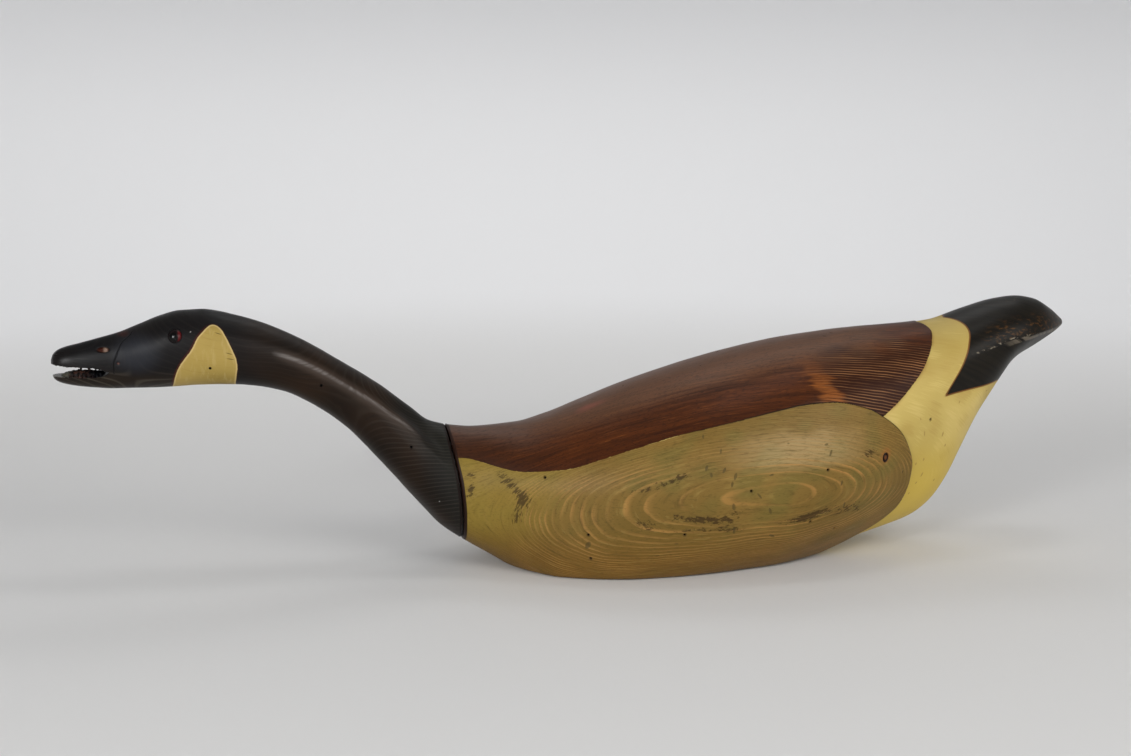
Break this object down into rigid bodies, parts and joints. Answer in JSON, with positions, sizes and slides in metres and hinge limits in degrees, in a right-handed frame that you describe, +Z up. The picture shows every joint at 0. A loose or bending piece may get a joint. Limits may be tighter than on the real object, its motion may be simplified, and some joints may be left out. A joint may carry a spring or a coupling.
{
  "type": "goose decoy",
  "caption": "Carved wooden goose decoy with an outstretched neck and open bill, standing on a flat planed base.",
  "frame": {"origin": "middle of the length and width, on the flat base that the decoy stands on", "axes": "+X from the bill to the tail, +Y to the goose's right side, +Z up"},
  "size_m": [0.965, 0.244, 0.2468],
  "materials": {
    "body_wood": "one block stained olive tan on the flanks and mahogany brown on the back, painted cream on the rump and black-brown on the tail, rubbed to a satin",
    "dark_wood": "near-black stain with a cream cheek patch, satin, with fine pale grain lines",
    "eye_glass": "dark red-brown iris with a black pupil behind clear polished glass"
  },
  "bodies": {
    "root": {"body": "body_wood", "head_and_neck": "dark_wood", "left_eye": "eye_glass", "right_eye": "eye_glass"}
  },
  "joints": []
}
